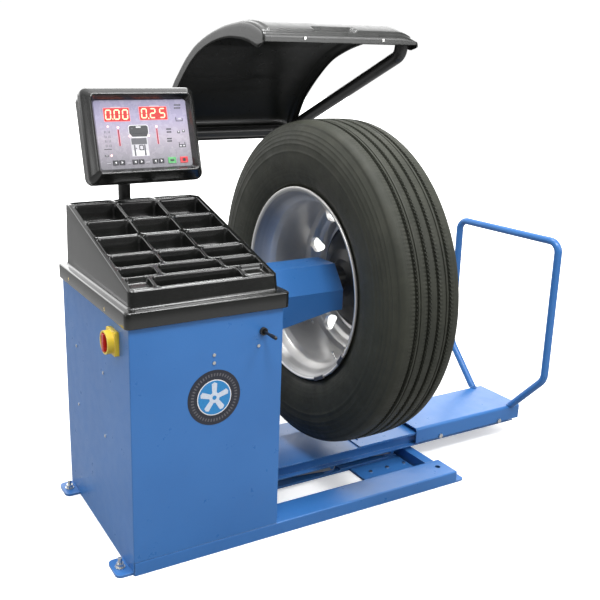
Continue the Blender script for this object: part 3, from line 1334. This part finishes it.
# brightness of the surroundings as seen by everything but the camera
WALL_VIEWER, WALL_SIDE, WALL_FAR = 0.18, 0.42, 0.76
CEILING = 0.60
BAND = 2.5           # bright strip low on the far wall
BACKDROP = 1.02      # brightness the camera sees
LIGHTS = (           # name, location, target, size (all metres), power in watts
    ("key", (0.9, -2.0, 3.6), (0, 0, 0.6), (0.9, 0.9), 60),
    ("key_left", (-0.95, -1.6, 3.7), (-0.2, 0, 0.6), (0.9, 0.9), 84),
    ("top", (0.1, 0.45, 3.9), (0, 0, 0.6), (2.6, 0.5), 84),
    ("front_box", (1.75, -2.7, 2.05), (0.1, 0.1, 1.3), (1.8, 0.9), 34),
    ("fill", (-3.8, -0.2, 1.85), (-0.5, 0, 0.9), (0.9, 1.1), 11))
CAMERA_PLACE = (-1354.195633, -1994.302273, 1306.238903)
# radians: yaw from +Y towards +X, pitch downwards, roll about the view line
CAMERA_YAW, CAMERA_PITCH, CAMERA_ROLL = 0.4733619, 0.2740233, 0.0082772
SENSOR_WIDTH, FOCAL_LENGTH = 36.0, 47.3784054
CAMERA_SHIFT = (0.135655587, -0.0180322)     # in frame widths


def build_floor():
    """Pale floor that glows to the camera, more with distance."""
    s = FLOOR_HALF
    mesh = bpy.data.meshes.new("floor")
    mesh.from_pydata([(-s, -s, 0), (s, -s, 0), (s, s, 0), (-s, s, 0)], [], [(0, 1, 2, 3)])
    floor = add_object("floor", mesh)
    m = Surface("pale_floor", (0.86, 0.86, 0.86), rough=0.7)
    seen = m.node("ShaderNodeLightPath").outputs["Is Camera Ray"]
    clouds = m.noise(scale=1.5, detail=4, rough=0.6)
    pale = m.mix(clouds, (0.88, 0.88, 0.88), (0.91, 0.91, 0.91))
    m.put("Base Color", m.mix(seen, (0.30, 0.30, 0.30), pale))
    m.put("Emission Color", (1.0, 1.0, 1.0))
    length = m.node("ShaderNodeVectorMath", operation="LENGTH")
    m.feed(length.inputs[0], m.coords)
    far = m.mask(m.times(length.outputs["Value"], 0.2), 0.25, 0.9)
    m.put("Emission Strength", m.times(seen, m.calc("ADD", 0.32, far)))
    mesh.materials.append(m.material)


def build_world():
    """Dark room behind the viewer, bright far wall with a strip, soft ceiling."""
    world = bpy.data.worlds.new("studio")
    bpy.context.scene.world = world
    world.use_nodes = True
    w = Nodes(world.node_tree)

    def direction_ramp(component, *stops):
        to_unit = w.node("ShaderNodeMapRange")
        to_unit.inputs["From Min"].default_value = -1.0
        to_unit.inputs["From Max"].default_value = 1.0
        w.feed(to_unit.inputs["Value"], component)
        return w.ramp(to_unit.outputs[0], *stops)

    direction = w.split(w.node("ShaderNodeTexCoord").outputs["Generated"])
    wall = direction_ramp(direction["Y"], (0.0, WALL_VIEWER), (0.42, WALL_VIEWER),
                          (0.60, WALL_SIDE), (1.0, WALL_FAR))
    ceiling = direction_ramp(direction["Z"], (0.0, 0.0), (0.62, 0.0), (0.90, CEILING),
                             (1.0, CEILING))
    strip = direction_ramp(direction["Z"], (0.0, 0.0), (0.52, 0.0), (0.57, 1.0), (0.74, 1.0),
                           (0.79, 0.0))
    far_side = direction_ramp(direction["Y"], (0.0, 0.0), (0.62, 0.0), (0.80, 1.0))
    room = w.calc("ADD", w.calc("ADD", wall, ceiling), w.times(w.times(strip, far_side), BAND))
    seen = w.node("ShaderNodeLightPath").outputs["Is Camera Ray"]
    strength = w.calc("ADD", w.times(seen, BACKDROP),
                      w.times(w.calc("SUBTRACT", 1.0, seen), room))
    background = w.tree.nodes["Background"]
    w.feed(background.inputs["Strength"], strength)
    w.feed(background.inputs["Color"], (1.0, 1.0, 1.0))


def add_area_light(name, location, target, size, power):
    light = bpy.data.lights.new(name, "AREA")
    light.shape = "RECTANGLE"
    light.size, light.size_y = size
    light.energy = power
    o = add_object(name, light)
    o.location = location
    aim = Vector(target) - Vector(location)
    o.rotation_euler = aim.to_track_quat("-Z", "Y").to_euler()


def build_camera():
    camera = bpy.data.cameras.new("camera")
    o = add_object("camera", camera)
    place = Vector(CAMERA_PLACE) * MM
    yaw, pitch, roll = CAMERA_YAW, CAMERA_PITCH, CAMERA_ROLL
    view = Vector((math.sin(yaw) * math.cos(pitch), math.cos(yaw) * math.cos(pitch),
                   -math.sin(pitch)))
    level = Vector((math.cos(yaw), -math.sin(yaw), 0))
    upright = level.cross(view)
    right = level * math.cos(roll) + upright * math.sin(roll)
    up = -level * math.sin(roll) + upright * math.cos(roll)
    rows = [(right[i], up[i], -view[i], place[i]) for i in range(3)]
    o.matrix_world = Matrix((*rows, (0, 0, 0, 1)))
    camera.sensor_width = SENSOR_WIDTH
    camera.lens = FOCAL_LENGTH
    camera.shift_x, camera.shift_y = CAMERA_SHIFT
    camera.clip_end = 100
    bpy.context.scene.camera = o


build_floor()
build_world()
for light_row in LIGHTS:
    add_area_light(*light_row)
build_camera()
bpy.context.scene.view_settings.view_transform = "Standard"
